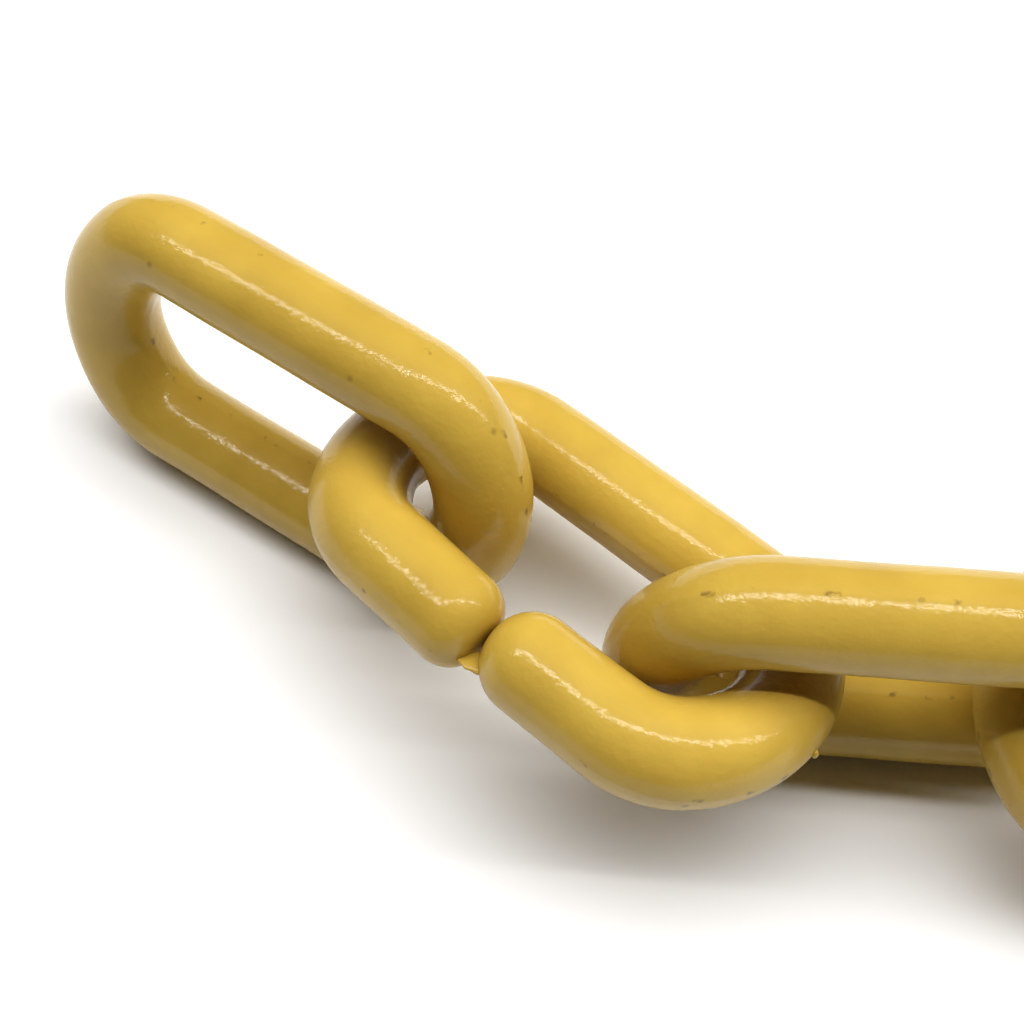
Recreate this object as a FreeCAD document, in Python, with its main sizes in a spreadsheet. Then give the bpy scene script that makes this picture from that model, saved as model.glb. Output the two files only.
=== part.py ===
"""A length of plastic barrier chain, lying loose on the ground.

Closed links stand on edge and split links lie nearly flat between them, each
hooked through its neighbours' eyes. Millimetres, +Z up, the ground at Z = 0,
the chain's length along X, the origin under the middle of the chain's box.
"""
import FreeCAD
import Part
import Sketcher
import math
import os

doc = FreeCAD.newDocument("barrier_chain")

# ---------------------------------------------------------------- dimensions

# Alias, value in millimetres (angles in degrees), meaning
DIMENSIONS = (
    ("wire_diameter", 8.0, "round wire of every link"),
    ("link_length", 46.0, "outside, end to end"),
    ("link_width", 27.2, "outside, across"),
    ("leg_length", 22.6, "straight stretch of one side, on the centre line"),
    ("corner_radius", 6.6, "centre line, from a leg into the end bow"),
    ("end_gap", 0.6, "between the two ends of a split link"),
    ("fixed_end_rounding", 3.7, "on the rim of the cut end that stays in line"),
    ("sprung_end_rounding", 2.4, "on the rim of the cut end that stands open"),
    ("sprung_angle", 5.3, "how far one arm of a split link stands open"),
    ("hook_play", 1.0, "slack between the bow of a standing link and the bow it holds"),
    ("lying_play", 0.7, "slack between the bow of a lying link and the bow it holds"),
    ("lying_height", 12.7, "centre of a lying link above the ground"),
    ("link_count", 25, "links in this length of chain"),
)

sheet = doc.addObject("Spreadsheet::Sheet", "Dimensions")
for row, (alias, value, meaning) in enumerate(DIMENSIONS, start=1):
    sheet.set("A%d" % row, meaning)
    sheet.set("B%d" % row, str(value))
    sheet.setAlias("B%d" % row, alias)
doc.recompute()

wire_radius = sheet.wire_diameter / 2
half_length = (sheet.link_length - sheet.wire_diameter) / 2
half_width = (sheet.link_width - sheet.wire_diameter) / 2
half_leg = sheet.leg_length / 2
corner_radius = sheet.corner_radius

# The end bow is a flatter crown arc between two corner arcs. The corner turns
# until the crown, centred on the link's axis, meets it and reaches half_length.
bow_depth = half_length - half_leg
corner_offset = half_width - corner_radius
crown_half_angle = 2 * math.atan((bow_depth - corner_radius) / corner_offset)
crown_radius = corner_radius + corner_offset / math.sin(crown_half_angle)
crown_centre = half_length - crown_radius

HALF_LENGTH = "(Dimensions.link_length - Dimensions.wire_diameter) / 2"
CORNER_CENTRE_X = "Dimensions.leg_length / 2"
CORNER_CENTRE_Y = "(Dimensions.link_width - Dimensions.wire_diameter) / 2 - Dimensions.corner_radius"

# ------------------------------------------------------------------- sketches


def origin_plane(body, role):
    """The body's own origin plane of that role."""
    for feature in body.Origin.OriginFeatures:
        if feature.Role == role:
            return feature
    raise ValueError("no origin plane " + role)


def flat_sketch(body, name, role):
    """An empty sketch on one of the body's origin planes."""
    sketch = body.newObject("Sketcher::SketchObject", name)
    sketch.AttachmentSupport = [(origin_plane(body, role), "")]
    sketch.MapMode = "FlatFace"
    return sketch


def dimension(sketch, kind, where, value, expression):
    """One sketch dimension, bound to the sheet."""
    index = sketch.addConstraint(Sketcher.Constraint(kind, *where, value))
    sketch.setExpression("Constraints[%d]" % index, expression)


def wire_section(body, side):
    """The round section at the middle of an end bow; side is +1 or -1 along X."""
    sketch = flat_sketch(body, "section", "XZ_Plane")
    centre = FreeCAD.Vector(side * half_length, 0, 0)
    up = FreeCAD.Vector(0, 0, 1)
    circle = sketch.addGeometry(Part.Circle(centre, up, wire_radius), False)
    sketch.addConstraint(Sketcher.Constraint("PointOnObject", circle, 3, -1))
    sign = "" if side > 0 else "-"
    dimension(sketch, "DistanceX", (circle, 3), side * half_length, sign + HALF_LENGTH)
    dimension(sketch, "Diameter", (circle,), 2 * wire_radius, "Dimensions.wire_diameter")
    return sketch


def arc_of(centre, radius, start, end):
    """A circular arc between two angles, counter-clockwise."""
    circle = Part.Circle(FreeCAD.Vector(centre[0], centre[1], 0), FreeCAD.Vector(0, 0, 1), radius)
    return Part.ArcOfCircle(circle, start, end)


def quarter_path(body, side_x, side_y, stop_x, stop_expression, opening, opening_expression):
    """The centre line of a quarter link: crown arc, corner arc, leg.

    It runs from the middle of the end bow on the side_x side to the leg on the
    side_y side, and stops at stop_x. opening is the angle the leg stands out.
    """
    sketch = flat_sketch(body, "path", "XY_Plane")

    def placed(angle):
        """An angle of the +X +Y quarter, carried into this quarter."""
        x = side_x * math.cos(angle)
        y = side_y * math.sin(angle)
        return math.atan2(y, x)

    def quarter_arc(centre, radius, first, last):
        """An arc with its own start and end indices in order of travel."""
        middle = (centre[0] * side_x, centre[1] * side_y)
        if side_x * side_y > 0:
            return arc_of(middle, radius, placed(first), placed(last)), 1, 2
        return arc_of(middle, radius, placed(last), placed(first)), 2, 1

    turn = math.radians(opening)
    corner_end = math.pi / 2 - turn
    crown, crown_first, crown_last = quarter_arc(
        (crown_centre, 0), crown_radius, 0, crown_half_angle)
    corner, corner_first, corner_last = quarter_arc(
        (half_leg, corner_offset), corner_radius, crown_half_angle, corner_end)
    leg_x = half_leg + corner_radius * math.cos(corner_end)
    leg_y = corner_offset + corner_radius * math.sin(corner_end)
    stop_y = leg_y + (leg_x - stop_x * side_x) * math.tan(turn)
    leg = Part.LineSegment(
        FreeCAD.Vector(side_x * leg_x, side_y * leg_y, 0),
        FreeCAD.Vector(stop_x, side_y * stop_y, 0))
    sketch.addGeometry([crown, corner, leg], False)
    sketch.addConstraint([
        Sketcher.Constraint("Tangent", 0, crown_last, 1, corner_first),
        Sketcher.Constraint("Tangent", 1, corner_last, 2, 1),
        Sketcher.Constraint("PointOnObject", 0, 3, -1),
        Sketcher.Constraint("PointOnObject", 0, crown_first, -1)])
    sign_x = "" if side_x > 0 else "-"
    sign_y = "" if side_y > 0 else "-"
    dimension(sketch, "DistanceX", (0, crown_first), side_x * half_length, sign_x + HALF_LENGTH)
    dimension(sketch, "Radius", (1,), corner_radius, "Dimensions.corner_radius")
    dimension(sketch, "DistanceX", (1, 3), side_x * half_leg, sign_x + CORNER_CENTRE_X)
    dimension(sketch, "DistanceY", (1, 3), side_y * corner_offset,
              sign_y + "(" + CORNER_CENTRE_Y + ")")
    if opening:
        dimension(sketch, "Angle", (2,), side_x * side_y * -turn, opening_expression)
    else:
        sketch.addConstraint(Sketcher.Constraint("Horizontal", 2))
    if stop_expression:
        dimension(sketch, "DistanceX", (2, 2), stop_x, stop_expression)
    else:
        sketch.addConstraint(Sketcher.Constraint("PointOnObject", 2, 2, -2))
    return sketch


# ---------------------------------------------------------------------- links


def wire_pipe(body, side_x, side_y, stop_x=0.0, stop_expression=None,
              opening=0.0, opening_expression=None):
    """A quarter of the link: the wire section carried along its path."""
    section = wire_section(body, side_x)
    path = quarter_path(body, side_x, side_y, stop_x, stop_expression,
                        opening, opening_expression)
    pipe = body.newObject("PartDesign::AdditivePipe", "wire")
    pipe.Profile = section
    pipe.Spine = path
    doc.recompute()
    return pipe


def mirrored_ends(body, pipes):
    """The same pipes again at the other end of the link."""
    mirror = body.newObject("PartDesign::Mirrored", "other_end")
    mirror.Originals = pipes
    mirror.MirrorPlane = (origin_plane(body, "YZ_Plane"), [""])
    body.Tip = mirror
    doc.recompute()
    return mirror


def new_body(label):
    """An empty body whose label names the link's file."""
    body = doc.addObject("PartDesign::Body", label)
    body.Label = label
    return body


def closed_link(label):
    """An endless link: two quarters at one end, mirrored to the other."""
    body = new_body(label)
    far_side = wire_pipe(body, 1, 1)
    near_side = wire_pipe(body, 1, -1)
    mirrored_ends(body, [far_side, near_side])
    return body


def cut_rim(shape, side):
    """The names of the edges round the cut end on the side +1 or -1 along X."""
    rims = []
    for index, edge in enumerate(shape.Edges, start=1):
        box = edge.BoundBox
        across_the_wire = box.XLength < 1.5 and 0 < side * box.Center.x < 1.5
        if across_the_wire and box.Center.y < 0:
            rims.append("Edge%d" % index)
    return rims


def rounded_end(body, base, side, expression):
    """The cut end on one side, rounded over."""
    rounding = body.newObject("PartDesign::Fillet", "rounded_end")
    rounding.Base = (base, cut_rim(base.Shape, side))
    rounding.setExpression("Radius", expression)
    body.Tip = rounding
    doc.recompute()
    return rounding


def split_link(label):
    """A link cut through the middle of its near leg, one arm sprung open."""
    body = new_body(label)
    far_side = wire_pipe(body, 1, 1)
    mirrored_ends(body, [far_side])
    half_gap = sheet.end_gap / 2
    wire_pipe(body, 1, -1, half_gap, "Dimensions.end_gap / 2")
    arms = wire_pipe(body, -1, -1, -half_gap, "-Dimensions.end_gap / 2",
                     sheet.sprung_angle, "-Dimensions.sprung_angle")
    fixed_end = rounded_end(body, arms, 1, "Dimensions.fixed_end_rounding")
    rounded_end(body, fixed_end, -1, "Dimensions.sprung_end_rounding")
    return body


# --------------------------------------------------------------------- layout

# How the first four links lie, from the free end: x, y, height of the centre
# (None where the link stands on the ground), heading, rise and roll in degrees.
# A roll near 90 stands the link on edge; the numbers are from the third link.
FREE_END = (
    (-49.8, 19.3, None, -29.0, 0.0, 77.1),
    (-25.6, 5.8, 13.4, -37.0, 3.2, -15.8),
    (0.0, 0.0, None, 1.1, 0.0, 94.9),
    (28.6, -2.4, 12.3, -9.7, -0.5, 9.5),
)
FIRST_HEADING = -9.7
SNAKE_HEADING = 20.0
UNEVEN_HEADING = 3.5
UNEVEN_LEAN = 6.0
UNEVEN_ROLL = 2.5


def direction(heading):
    """Unit vector along the ground."""
    angle = math.radians(heading)
    return FreeCAD.Vector(math.cos(angle), math.sin(angle), 0)


def standing_height(roll):
    """Centre height of a link that stands on its lower leg."""
    return half_width * math.sin(math.radians(roll)) + wire_radius


def placed_link(centre, heading, rise, roll):
    """The placement of a link from its centre and its three angles."""
    return FreeCAD.Placement(centre, FreeCAD.Rotation(heading, -rise, roll))


def snaking_heading(index):
    """The chain wanders in one long S, each link a little off the last."""
    along = (index - 3) / (sheet.link_count - 4)
    settle = min(1, (sheet.link_count - 1 - index) / 3)
    straightening = FIRST_HEADING * (1 - along) ** 2
    snake = SNAKE_HEADING * math.sin(2 * math.pi * along)
    return straightening + snake + UNEVEN_HEADING * math.sin(2.1 * index) * settle


def next_link(index, last):
    """Hook link `index` into the far bow of the link placed last.

    A standing link sits square on the lying bow it holds, wherever round the
    crown that is; a lying link takes hold of the middle of the standing bow.
    """
    heading = snaking_heading(index)
    ahead = direction(heading)
    last_axis = last.Rotation.multVec(FreeCAD.Vector(1, 0, 0))
    if index % 2 == 0:
        settle = min(1, (sheet.link_count - 1 - index) / 3)
        roll = 90 + UNEVEN_LEAN * math.sin(1.9 * index) * settle
        hook = crown_radius - sheet.wire_diameter - sheet.hook_play
        centre = last.Base + last_axis * crown_centre + ahead * (hook + half_length)
        centre.z = standing_height(roll)
    else:
        roll = UNEVEN_ROLL * math.sin(2.3 * index)
        hook = sheet.wire_diameter + sheet.lying_play
        centre = last.Base + last_axis * half_length + ahead * (half_length - hook)
        centre.z = sheet.lying_height
    return placed_link(centre, heading, 0, roll)


def chain_layout():
    """The placement of every link, from the free end."""
    placements = []
    for x, y, height, heading, rise, roll in FREE_END:
        if height is None:
            height = standing_height(roll)
        placements.append(placed_link(FreeCAD.Vector(x, y, height), heading, rise, roll))
    for index in range(len(FREE_END), int(sheet.link_count)):
        placements.append(next_link(index, placements[-1]))
    return placements


# ---------------------------------------------------------------------- chain

links = []
for index, placement in enumerate(chain_layout()):
    if index % 2 == 0:
        link = closed_link("closed_link_%02d" % (index + 1))
    else:
        link = split_link("split_link_%02d" % (index + 1))
    link.Placement = placement
    links.append(link)
doc.recompute()

# Bring the middle of the chain's box over the origin.
chain_box = FreeCAD.BoundBox()
for link in links:
    chain_box.add(link.Shape.optimalBoundingBox(False))
to_origin = FreeCAD.Vector(-chain_box.Center.x, -chain_box.Center.y, 0)
for link in links:
    link.Placement = FreeCAD.Placement(link.Placement.Base + to_origin, link.Placement.Rotation)
doc.recompute()

# --------------------------------------------------------------------- output

for item in doc.Objects:
    for trouble in ("Invalid", "Error"):
        if trouble in item.State:
            raise RuntimeError("%s is in state %s" % (item.Name, trouble))
for link in links:
    if link.Shape.isNull() or not link.Shape.isValid() or len(link.Shape.Solids) != 1:
        raise RuntimeError("%s is not one valid solid" % link.Label)

os.makedirs("parts", exist_ok=True)
for link in links:
    link.Shape.exportStep("parts/%s.step" % link.Label)
    print("%s %.1f mm3" % (link.Label, link.Shape.Volume))
print("chain %.2f x %.2f x %.2f mm" % (chain_box.XLength, chain_box.YLength, chain_box.ZLength))
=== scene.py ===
"""A length of yellow plastic barrier chain, dressed for a close studio view.

Every link is remade as a fine swept mesh on the frame of its CAD link, with the
crease where the mould's halves met, slightly filled inside corners and, on the
split links, rounded ends, a torn web of flash between them and a gate nib.
Metres; the links are worked out in millimetres and scaled when placed.
"""
import math

import bpy
import numpy as np
from mathutils import Matrix, Vector


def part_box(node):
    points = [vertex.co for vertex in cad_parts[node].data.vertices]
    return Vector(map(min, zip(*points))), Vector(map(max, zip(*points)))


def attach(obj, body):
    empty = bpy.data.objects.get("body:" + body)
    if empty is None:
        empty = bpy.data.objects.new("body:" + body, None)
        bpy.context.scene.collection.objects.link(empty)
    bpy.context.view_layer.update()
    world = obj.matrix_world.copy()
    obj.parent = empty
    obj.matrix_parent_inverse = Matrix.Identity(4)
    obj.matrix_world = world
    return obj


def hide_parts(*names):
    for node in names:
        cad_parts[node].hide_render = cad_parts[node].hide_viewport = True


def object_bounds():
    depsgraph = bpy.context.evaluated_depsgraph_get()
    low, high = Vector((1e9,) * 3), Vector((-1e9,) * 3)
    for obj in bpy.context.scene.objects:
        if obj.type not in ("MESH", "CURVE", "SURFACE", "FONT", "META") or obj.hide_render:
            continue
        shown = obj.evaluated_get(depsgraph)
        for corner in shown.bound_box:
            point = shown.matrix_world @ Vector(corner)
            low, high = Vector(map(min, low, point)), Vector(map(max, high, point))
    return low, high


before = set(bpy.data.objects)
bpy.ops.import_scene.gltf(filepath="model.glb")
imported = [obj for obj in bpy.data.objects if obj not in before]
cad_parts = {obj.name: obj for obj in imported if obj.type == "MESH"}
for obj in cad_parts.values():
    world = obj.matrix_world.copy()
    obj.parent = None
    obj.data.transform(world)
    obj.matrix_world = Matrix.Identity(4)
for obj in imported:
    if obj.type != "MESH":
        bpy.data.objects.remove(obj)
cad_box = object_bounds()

MM = 0.001
QUARTER = math.pi / 2

# ------------------------------------------------- link dimensions, millimetres

WIRE_RADIUS = 4.0            # the CAD wire
MOULDED_RADIUS = 4.05        # as moulded, in the link's own plane
WIRE_HALF_HEIGHT = 4.14      # across that plane: the mould halves don't quite close
HALF_LENGTH = 19.0           # to the centre line
HALF_WIDTH = 9.6             # to the centre line
HALF_LEG = 11.3
CORNER_RADIUS = 6.6
END_GAP = 0.6
FIXED_END_ROUNDING = 3.7
SPRUNG_END_ROUNDING = 2.9
FIXED_END_REACH = 0.45       # the fixed end swells past its cut, almost to the other
SPRUNG_ANGLE = math.radians(5.3)

CROWN_HALF_ANGLE = 2 * math.atan(
    (HALF_LENGTH - HALF_LEG - CORNER_RADIUS) / (HALF_WIDTH - CORNER_RADIUS))
CROWN_RADIUS = CORNER_RADIUS + (HALF_WIDTH - CORNER_RADIUS) / math.sin(CROWN_HALF_ANGLE)
CROWN_CENTRE = HALF_LENGTH - CROWN_RADIUS

# The two mould halves meet in a soft crease round the link's edge.
CREASE_OFFSET = 0.26
CREASE_BEAD = 0.015
CREASE_BEAD_WIDTH = 0.14

CORNER_FILL = 0.20           # the eye's inside corners are fuller than a plain round wire
CORNER_FILL_REACH = 7.5

# The moulding's slow unevenness: two waves round the link, shifted from link to link.
WAVINESS = 0.045
SLOW_WAVES = 3
FAST_WAVES = 7
FAST_SHARE = 0.6
FAST_SHIFT = 2.3
SHIFT_PER_LINK = 1.7

# The flash web's outline, a little below the parting plane: both outer corners
# bury themselves in the rounded ends, and its free edge is torn between them.
WEB_OUTLINE = ((0.1, -10.5), (-0.9, -12.5), (-0.8, -12.95), (-0.3, -13.0), (0.15, -13.1),
               (0.6, -12.9), (1.2, -12.8), (1.9, -11.9))
WEB_LEVEL = -0.7
WEB_THICKNESS = 0.22
WEB_BEVEL = 0.9              # the flat faces' size, against the outline

NIB_RADIUS = 0.27            # where the moulding was broken off its runner
NIB_STRETCH = 1.5
NIB_SIDES = 12
NIB_LEVELS = 7

STEP_ALONG = 0.55            # mesh spacing along the wire
SECTION_POINTS = 56
SECTION_GATHERING = 0.09     # how far the section's points crowd towards the crease
END_RINGS = 16               # rings over each rounded end
END_CLEARANCE = 0.3          # least distance from those rings to the next

# -------------------------------------------------- the plastic's look, metres

DARK_YELLOW = (0.450, 0.297, 0.051, 1)
LIGHT_YELLOW = (0.535, 0.362, 0.067, 1)
DIRT = (0.14, 0.085, 0.03, 1)
MOTTLE_SCALE = 130.0
MOTTLE_SPAN = (0.30, 0.70)
FINE_DETAIL = 3.0

SPECK_SCALE = 260.0
SPECK_EDGE = 0.11
SPECK_CORE = 0.03
SPECK_STRENGTH = 0.45
SPECK_LOTTERY = 0.86         # only the cells that draw more than this hold a speck

NICK_EDGE = 0.00032          # distance from the parting plane
NICK_CORE = 0.00005
NICK_SCALE = 700.0
NICK_DETAIL = 4.0
NICK_SPAN = (0.58, 0.66)
NICK_STRENGTH = 0.7

PEEL_SCALE = 1700.0
PEEL_STRENGTH = 0.5
PEEL_HEIGHT = 0.00008
BODY_ROUGHNESS = 0.5
BODY_SPECULAR = 0.15
COAT_WEIGHT = 0.6
COAT_ROUGHNESS = 0.12

# ------------------------------------------- floor, lights and camera, metres

FLOOR_REACH = 3.0
FLOOR_WHITE = (0.86, 0.86, 0.86, 1)
FLOOR_ROUGHNESS = 0.6

# Places are offsets from the middle of the third link; both lights face down.
ROOM_STRENGTH = 0.03
TUBE_PLACE = Vector((0.30, 0.0, 0.80))
TUBE_SIZE = (2.20, 0.035)
TUBE_POWER = 5.3
PANEL_PLACE = Vector((0.30, 0.33, 0.80))
PANEL_SIZE = (2.00, 0.60)
PANEL_POWER = 14.6

CAMERA_PLACE = Vector((-0.0308, -0.0521, 0.0))
CAMERA_HEIGHT = 0.1212
CAMERA_ELEVATION = math.radians(59.7)
CAMERA_ROLL = math.radians(5.13)
CAMERA_LENS = 54.96
CAMERA_SENSOR = 36.0
CAMERA_CLIP = 0.005

# ---------------------------------------------------------------- link frames


def link_frame(node):
    """A CAD link's long axis, width axis, plane normal and centre, as a matrix.

    The axes are the principal axes of its surface; the centre is the middle
    of its length and thickness, and one outside leg's distance in from the
    leg that is never cut.
    """
    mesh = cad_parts[node].data
    points = np.array([v.co for v in mesh.vertices], float)
    mesh.calc_loop_triangles()
    corners = points[np.array([t.vertices for t in mesh.loop_triangles])]
    sides = np.cross(corners[:, 1] - corners[:, 0], corners[:, 2] - corners[:, 0])
    areas = np.linalg.norm(sides, axis=1) / 2
    middles = corners.mean(axis=1)
    centroid = (middles * areas[:, None]).sum(axis=0) / areas.sum()
    offsets = middles - centroid
    spread = (offsets * areas[:, None]).T @ offsets
    vectors = np.linalg.eigh(spread)[1]
    long_axis = vectors[:, 2]
    width_axis = vectors[:, 1]
    if long_axis[0] < 0:
        long_axis = -long_axis
    across = (points - centroid) @ width_axis
    if across.max() > -across.min():
        width_axis = -width_axis
    normal = np.cross(long_axis, width_axis)
    spans = points @ np.column_stack([long_axis, width_axis, normal])
    low = spans.min(axis=0)
    high = spans.max(axis=0)
    centre = (long_axis * (low[0] + high[0]) / 2
              + width_axis * (high[1] - (HALF_WIDTH + WIRE_RADIUS) * MM)
              + normal * (low[2] + high[2]) / 2)
    matrix = Matrix.Identity(4)
    for column, axis in enumerate((long_axis, width_axis, normal, centre)):
        for row in range(3):
            matrix[row][column] = axis[row]
    return matrix


# ---------------------------------------------------------------- centre line


def arc_points(centre, radius, first, last):
    """Evenly spaced points on an arc, without the last."""
    count = round((last - first) * radius / STEP_ALONG)
    angles = np.linspace(first, last, count, endpoint=False)
    return [(centre[0] + radius * math.cos(a), centre[1] + radius * math.sin(a)) for a in angles]


def line_points(start, end):
    """Evenly spaced points on a straight run, without the last."""
    count = round(math.dist(start, end) / STEP_ALONG)
    return [tuple(np.array(start) + (np.array(end) - start) * i / count) for i in range(count)]


def far_leg():
    """The leg that is never cut, travelled from the +X bow to the -X bow."""
    return line_points((HALF_LEG, HALF_WIDTH), (-HALF_LEG, HALF_WIDTH))


def bow(side, last_turn):
    """The end bow at side +1 or -1, travelled counter-clockwise up to last_turn."""
    turn = 0 if side > 0 else math.pi
    x = side * HALF_LEG
    y = side * (HALF_WIDTH - CORNER_RADIUS)
    crown_start = turn - CROWN_HALF_ANGLE
    crown_end = turn + CROWN_HALF_ANGLE
    return (arc_points((x, -y), CORNER_RADIUS, turn - QUARTER, crown_start)
            + arc_points((side * CROWN_CENTRE, 0), CROWN_RADIUS, crown_start, crown_end)
            + arc_points((x, y), CORNER_RADIUS, crown_end, last_turn))


def closed_line():
    """The endless centre line."""
    near_leg = line_points((-HALF_LEG, -HALF_WIDTH), (HALF_LEG, -HALF_WIDTH))
    return np.array(bow(1, QUARTER) + far_leg() + bow(-1, math.pi + QUARTER) + near_leg)


def split_line():
    """The centre line from the cut, round the link and back to the cut.

    The arm that ends the line stands open: its corner turns less by the
    sprung angle, and the leg runs straight on outwards from there.
    """
    start = line_points((END_GAP / 2 - FIXED_END_REACH, -HALF_WIDTH), (HALF_LEG, -HALF_WIDTH))
    last_turn = math.pi + QUARTER - SPRUNG_ANGLE
    leg_start = (-HALF_LEG + CORNER_RADIUS * math.cos(last_turn),
                 CORNER_RADIUS - HALF_WIDTH + CORNER_RADIUS * math.sin(last_turn))
    reach = -END_GAP / 2 - leg_start[0]
    leg_end = (-END_GAP / 2, leg_start[1] - reach * math.tan(SPRUNG_ANGLE))
    stub = line_points(leg_start, leg_end)
    return np.array(start + bow(1, QUARTER) + far_leg() + bow(-1, last_turn) + stub + [leg_end])


# --------------------------------------------------------------------- meshes


def wire_section():
    """The section's outward and upward reach, all round, from the outer edge."""
    crease = math.asin(CREASE_OFFSET / math.hypot(MOULDED_RADIUS, CREASE_OFFSET))
    radius = MOULDED_RADIUS / math.cos(crease)
    stretch = WIRE_HALF_HEIGHT / (radius - CREASE_OFFSET)
    even = np.linspace(0, 1, SECTION_POINTS // 2, endpoint=False)
    gathered = even - SECTION_GATHERING * np.sin(2 * math.pi * even)
    turns = crease + (math.pi - 2 * crease) * gathered
    outward = radius * np.cos(turns)
    upward = (radius * np.sin(turns) - CREASE_OFFSET) * stretch
    bead = CREASE_BEAD * np.exp(-(upward / CREASE_BEAD_WIDTH) ** 2)
    outward = outward + np.sign(outward) * bead
    return np.concatenate([outward, -outward]), np.concatenate([upward, -upward])


def tangents(line, closed):
    """Unit directions along the centre line."""
    if closed:
        steps = np.roll(line, -1, axis=0) - np.roll(line, 1, axis=0)
    else:
        steps = np.gradient(line, axis=0)
    return steps / np.linalg.norm(steps, axis=1)[:, None]


def along(line):
    """Distance travelled at each point."""
    steps = np.linalg.norm(np.diff(line, axis=0), axis=1)
    return np.concatenate([[0], np.cumsum(steps)])


def end_fullness(distance, rounding):
    """How much of the section is left near an end rounded over by that much."""
    inside = np.clip(distance, 0, rounding)
    flat = WIRE_RADIUS - rounding
    return (flat + np.sqrt(rounding ** 2 - (rounding - inside) ** 2)) / WIRE_RADIUS


def refine_ends(line):
    """More points where the ends are rounded, closest together at the tips."""
    travel = along(line)
    curve = 1 - np.cos(np.linspace(0, QUARTER, END_RINGS))
    first = FIXED_END_ROUNDING * curve
    last = travel[-1] - SPRUNG_END_ROUNDING * curve[::-1]
    clear_start = travel > first[-1] + END_CLEARANCE
    clear_end = travel < last[0] - END_CLEARANCE
    places = np.concatenate([first, travel[clear_start & clear_end], last])
    return np.column_stack([np.interp(places, travel, line[:, 0]),
                            np.interp(places, travel, line[:, 1])])


def corner_fill(line):
    """The extra inward reach at each point, most in the middle of a corner."""
    diagonal = CORNER_RADIUS * math.sqrt(0.5)
    corner = np.array([HALF_LEG + diagonal, HALF_WIDTH - CORNER_RADIUS + diagonal])
    distance = np.linalg.norm(np.abs(line) - corner, axis=1)
    nearness = np.clip(1 - distance / CORNER_FILL_REACH, 0, 1)
    return CORNER_FILL * (1 - np.cos(math.pi * nearness)) / 2


def unevenness(progress, shift):
    """How far the wire shrinks below its full section, in shares of its radius."""
    slow = np.sin(2 * math.pi * SLOW_WAVES * progress + shift)
    fast = np.sin(2 * math.pi * FAST_WAVES * progress + FAST_SHIFT * shift)
    return WAVINESS / WIRE_RADIUS * (1 + slow + FAST_SHARE * fast)


def tube_faces(rings, closed):
    """Four-sided faces between neighbouring rings, and round to the first if closed."""
    faces = []
    for i in range(rings if closed else rings - 1):
        here = i * SECTION_POINTS
        there = (i + 1) % rings * SECTION_POINTS
        for j in range(SECTION_POINTS):
            k = (j + 1) % SECTION_POINTS
            faces.append((here + j, here + k, there + k, there + j))
    return faces


def cap_faces(first, last, pole, points):
    """Fans over a row of rings' two ends; the poles are numbered pole and pole + 1."""
    faces = []
    for j in range(points):
        k = (j + 1) % points
        faces.append((first + k, first + j, pole))
        faces.append((last + j, last + k, pole + 1))
    return faces


def swept_wire(line, closed, seed):
    """Vertices and faces of the wire along the centre line, in millimetres."""
    if not closed:
        line = refine_ends(line)
    direction = tangents(line, closed)
    out = np.column_stack([direction[:, 1], -direction[:, 0]])
    travel = along(line)
    length = travel[-1]
    fullness = np.ones(len(line))
    if not closed:
        fullness = (end_fullness(travel, FIXED_END_ROUNDING)
                    * end_fullness(length - travel, SPRUNG_END_ROUNDING))
    swell = 1 - unevenness(travel / length, seed * SHIFT_PER_LINK) * fullness ** 2
    fullness = fullness * np.minimum(swell, 1.0)
    outward, upward = wire_section()
    inward = (np.minimum(outward, 0) / MOULDED_RADIUS) ** 2
    rings = []
    for place, normal, full, fill in zip(line, out, fullness, corner_fill(line)):
        reach = outward * full - inward * fill
        rings.append(np.column_stack([place[0] + normal[0] * reach,
                                      place[1] + normal[1] * reach,
                                      upward * full]))
    vertices = np.concatenate(rings)
    faces = tube_faces(len(rings), closed)
    if not closed:
        pole = len(vertices)
        vertices = np.concatenate([vertices, [rings[0].mean(axis=0)], [rings[-1].mean(axis=0)]])
        faces += cap_faces(0, pole - SECTION_POINTS, pole, SECTION_POINTS)
    return vertices, faces


def flash_web():
    """The torn web of flash in the notch between a split link's two ends."""
    outline = np.array(WEB_OUTLINE)
    middle = outline.mean(axis=0)
    count = len(outline)
    rise = WEB_THICKNESS / 2
    edge = np.column_stack([outline, np.full(count, WEB_LEVEL)])
    inner = middle + (outline - middle) * WEB_BEVEL
    top = np.column_stack([inner, np.full(count, WEB_LEVEL + rise)])
    bottom = np.column_stack([inner, np.full(count, WEB_LEVEL - rise)])
    faces = [tuple(range(count, 2 * count)), tuple(range(3 * count - 1, 2 * count - 1, -1))]
    for i in range(count):
        j = (i + 1) % count
        faces.append((i, j, count + j, count + i))
        faces.append((2 * count + i, 2 * count + j, j, i))
    return np.concatenate([edge, top, bottom]), faces


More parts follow.
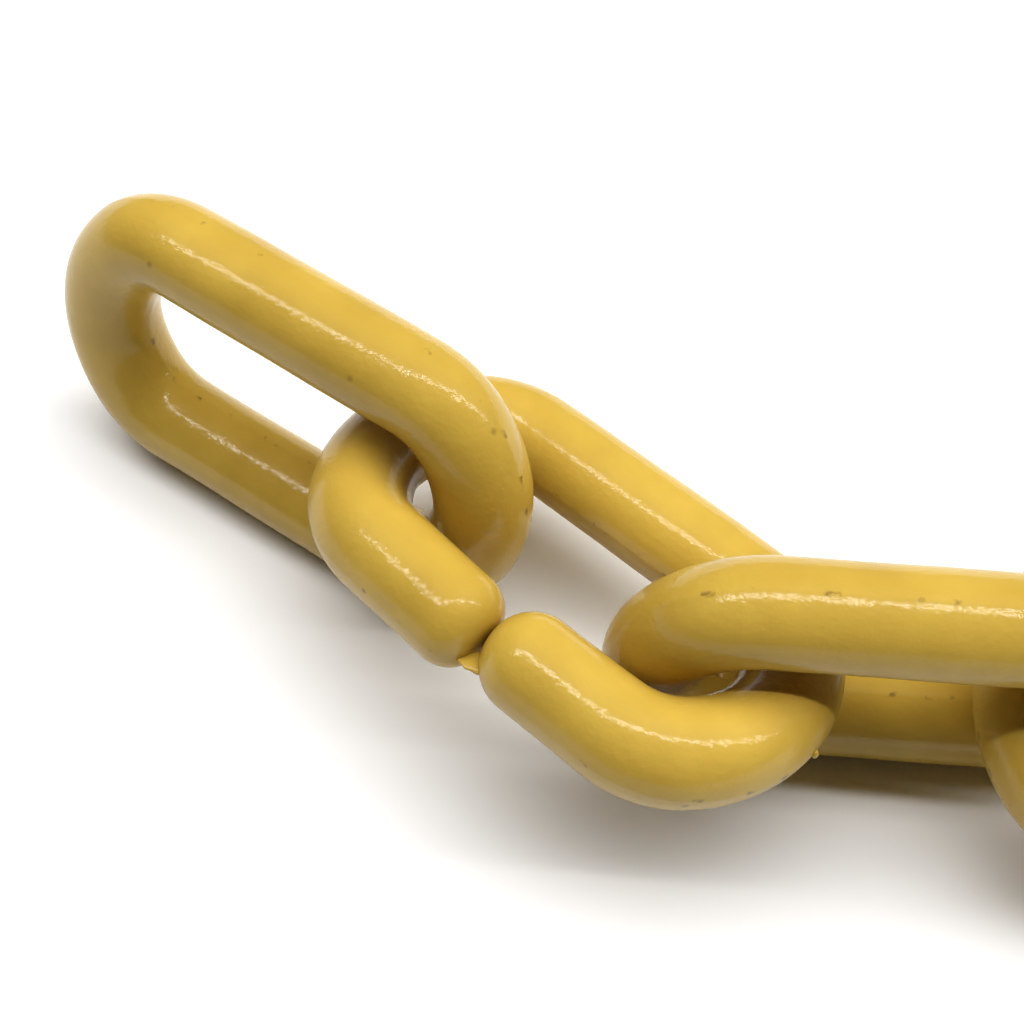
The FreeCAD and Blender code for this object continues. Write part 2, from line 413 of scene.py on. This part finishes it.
def gate_nib():
    """A small lump at the middle of a split link's +X bow."""
    centre = np.array([HALF_LENGTH + MOULDED_RADIUS, 0.0, 0.0])
    around = np.linspace(0, 2 * math.pi, NIB_SIDES, endpoint=False)
    rings = [np.column_stack([np.cos(around) * math.cos(rise), np.sin(around) * math.cos(rise),
                              np.full(NIB_SIDES, math.sin(rise))])
             for rise in np.linspace(-QUARTER, QUARTER, NIB_LEVELS + 2)[1:-1]]
    poles = np.array([[0, 0, -1.0], [0, 0, 1.0]])
    size = NIB_RADIUS * np.array([1, 1, NIB_STRETCH])
    vertices = centre + np.concatenate(rings + [poles]) * size
    last = (NIB_LEVELS - 1) * NIB_SIDES
    faces = []
    for j in range(NIB_SIDES):
        k = (j + 1) % NIB_SIDES
        for i in range(0, last, NIB_SIDES):
            faces.append((i + j, i + k, i + NIB_SIDES + k, i + NIB_SIDES + j))
    return vertices, faces + cap_faces(0, last, NIB_LEVELS * NIB_SIDES, NIB_SIDES)


# ------------------------------------------------------------------ materials


def noise(tree, place, scale, detail):
    """A noise value over the link's own frame."""
    node = tree.nodes.new("ShaderNodeTexNoise")
    node.inputs["Scale"].default_value = scale
    node.inputs["Detail"].default_value = detail
    tree.links.new(place, node.inputs["Vector"])
    return node.outputs["Fac"]


def fade(tree, value, start, end, strength, interpolation="LINEAR"):
    """Nothing where the value is at start, rising to strength at end."""
    node = tree.nodes.new("ShaderNodeMapRange")
    node.interpolation_type = interpolation
    node.inputs["From Min"].default_value = start
    node.inputs["From Max"].default_value = end
    node.inputs["To Max"].default_value = strength
    tree.links.new(value, node.inputs["Value"])
    return node.outputs["Result"]


def maths(tree, operation, *values):
    """A maths node's result; each value is a socket or a plain number."""
    node = tree.nodes.new("ShaderNodeMath")
    node.operation = operation
    for socket, value in zip(node.inputs, values):
        if isinstance(value, float):
            socket.default_value = value
        else:
            tree.links.new(value, socket)
    return node.outputs["Value"]


def speck_mask(tree, place):
    """How dark a sparse speck is here, zero between specks."""
    cells = tree.nodes.new("ShaderNodeTexVoronoi")
    cells.inputs["Scale"].default_value = SPECK_SCALE
    tree.links.new(place, cells.inputs["Vector"])
    depth = fade(tree, cells.outputs["Distance"], SPECK_EDGE, SPECK_CORE, SPECK_STRENGTH,
                 "SMOOTHSTEP")
    lottery = tree.nodes.new("ShaderNodeSeparateColor")
    tree.links.new(cells.outputs["Color"], lottery.inputs["Color"])
    chosen = maths(tree, "GREATER_THAN", lottery.outputs["Red"], SPECK_LOTTERY)
    return maths(tree, "MULTIPLY", depth, chosen)


def nick_mask(tree, place):
    """Where the parting line is nicked and has picked up dirt."""
    parts = tree.nodes.new("ShaderNodeSeparateXYZ")
    tree.links.new(place, parts.inputs["Vector"])
    height = maths(tree, "ABSOLUTE", parts.outputs["Z"])
    near = fade(tree, height, NICK_EDGE, NICK_CORE, 1.0)
    patches = noise(tree, place, NICK_SCALE, NICK_DETAIL)
    worn = fade(tree, patches, *NICK_SPAN, NICK_STRENGTH)
    return maths(tree, "MULTIPLY", near, worn)


def yellow_plastic():
    """Glossy moulded plastic: mottled, with dark specks and a slight orange peel."""
    material = bpy.data.materials.new("yellow_plastic")
    material.use_nodes = True
    tree = material.node_tree
    shader = tree.nodes["Principled BSDF"]
    place = tree.nodes.new("ShaderNodeTexCoord").outputs["Object"]

    colour = tree.nodes.new("ShaderNodeValToRGB")
    shades = zip(colour.color_ramp.elements, MOTTLE_SPAN, (DARK_YELLOW, LIGHT_YELLOW))
    for element, position, shade in shades:
        element.position = position
        element.color = shade
    tree.links.new(noise(tree, place, MOTTLE_SCALE, FINE_DETAIL), colour.inputs["Fac"])
    dirtied = tree.nodes.new("ShaderNodeMix")
    dirtied.data_type = "RGBA"
    dirtied.inputs["B"].default_value = DIRT
    dirt = maths(tree, "MAXIMUM", speck_mask(tree, place), nick_mask(tree, place))
    tree.links.new(dirt, dirtied.inputs["Factor"])
    tree.links.new(colour.outputs["Color"], dirtied.inputs["A"])
    tree.links.new(dirtied.outputs["Result"], shader.inputs["Base Color"])

    bump = tree.nodes.new("ShaderNodeBump")
    bump.inputs["Strength"].default_value = PEEL_STRENGTH
    bump.inputs["Distance"].default_value = PEEL_HEIGHT
    tree.links.new(noise(tree, place, PEEL_SCALE, FINE_DETAIL), bump.inputs["Height"])
    tree.links.new(bump.outputs["Normal"], shader.inputs["Normal"])
    tree.links.new(bump.outputs["Normal"], shader.inputs["Coat Normal"])

    shader.inputs["Roughness"].default_value = BODY_ROUGHNESS
    shader.inputs["Specular IOR Level"].default_value = BODY_SPECULAR
    shader.inputs["Coat Weight"].default_value = COAT_WEIGHT
    shader.inputs["Coat Roughness"].default_value = COAT_ROUGHNESS
    return material


def floor_material():
    """Matt white card."""
    material = bpy.data.materials.new("white_card")
    material.use_nodes = True
    shader = material.node_tree.nodes["Principled BSDF"]
    shader.inputs["Base Color"].default_value = FLOOR_WHITE
    shader.inputs["Roughness"].default_value = FLOOR_ROUGHNESS
    return material


# --------------------------------------------------------------------- pieces


def add_mesh(name, vertices, faces, matrix, material):
    """A smooth-shaded mesh object placed by its link's frame."""
    mesh = bpy.data.meshes.new(name)
    mesh.from_pydata([tuple(v) for v in vertices * MM], [], faces)
    mesh.polygons.foreach_set("use_smooth", [True] * len(mesh.polygons))
    mesh.materials.append(material)
    mesh.update()
    piece = bpy.data.objects.new(name, mesh)
    bpy.context.scene.collection.objects.link(piece)
    piece.matrix_world = matrix
    return piece


def build_links():
    """One fine mesh for each CAD link, and each split link's web and nib."""
    material = yellow_plastic()
    for seed, node in enumerate(sorted(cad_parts, key=lambda name: name[-2:])):
        closed = node.startswith("closed")
        line = closed_line() if closed else split_line()
        matrix = link_frame(node)
        vertices, faces = swept_wire(line, closed, seed)
        moulding = add_mesh(node + "_moulding", vertices, faces, matrix, material)
        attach(moulding, node)
        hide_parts(node)
        if closed:
            continue
        for name, (vertices, faces) in (("_flash_web", flash_web()), ("_gate_nib", gate_nib())):
            scrap = add_mesh(node + name, vertices, faces, matrix, material)
            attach(scrap, node)


# ------------------------------------------------------ floor, lights, camera


def build_floor():
    """A plain pale floor at the chain's foot."""
    mesh = bpy.data.meshes.new("floor")
    corners = [(x * FLOOR_REACH, y * FLOOR_REACH, 0)
               for x, y in ((-1, -1), (1, -1), (1, 1), (-1, 1))]
    mesh.from_pydata(corners, [], [(0, 1, 2, 3)])
    mesh.materials.append(floor_material())
    floor = bpy.data.objects.new("floor", mesh)
    bpy.context.scene.collection.objects.link(floor)
    floor.location.z = cad_box[0][2]


def area_light(name, place, size, power):
    """A rectangular soft light facing straight down."""
    data = bpy.data.lights.new(name, "AREA")
    data.shape = "RECTANGLE"
    data.size, data.size_y = size
    data.energy = power
    light = bpy.data.objects.new(name, data)
    bpy.context.scene.collection.objects.link(light)
    light.location = place
    return light


def build_lights(subject):
    """A dim room, a long tube straight overhead and a soft panel from there back."""
    world = bpy.data.worlds.new("studio")
    world.use_nodes = True
    background = world.node_tree.nodes["Background"]
    background.inputs["Color"].default_value = (1.0, 1.0, 1.0, 1)
    background.inputs["Strength"].default_value = ROOM_STRENGTH
    bpy.context.scene.world = world
    area_light("overhead_tube", subject + TUBE_PLACE, TUBE_SIZE, TUBE_POWER)
    panel = area_light("overhead_panel", subject + PANEL_PLACE, PANEL_SIZE, PANEL_POWER)
    panel.visible_glossy = False
    bpy.context.scene.view_settings.view_transform = "Standard"
    bpy.context.scene.view_settings.look = "Medium High Contrast"


def build_camera(subject):
    """The camera looks steeply down at the chain's free end."""
    data = bpy.data.cameras.new("camera")
    data.sensor_width = CAMERA_SENSOR
    data.lens = CAMERA_LENS
    data.clip_start = CAMERA_CLIP
    camera = bpy.data.objects.new("camera", data)
    bpy.context.scene.collection.objects.link(camera)
    place = subject + CAMERA_PLACE
    place.z = CAMERA_HEIGHT
    camera.matrix_world = (Matrix.Translation(place)
                           @ Matrix.Rotation(QUARTER - CAMERA_ELEVATION, 4, "X")
                           @ Matrix.Rotation(CAMERA_ROLL, 4, "Z"))
    bpy.context.scene.camera = camera


# ----------------------------------------------------------------------- main

build_links()
build_floor()
third_low, third_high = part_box("closed_link_03")
third_link = (third_low + third_high) / 2
build_lights(third_link)
build_camera(third_link)
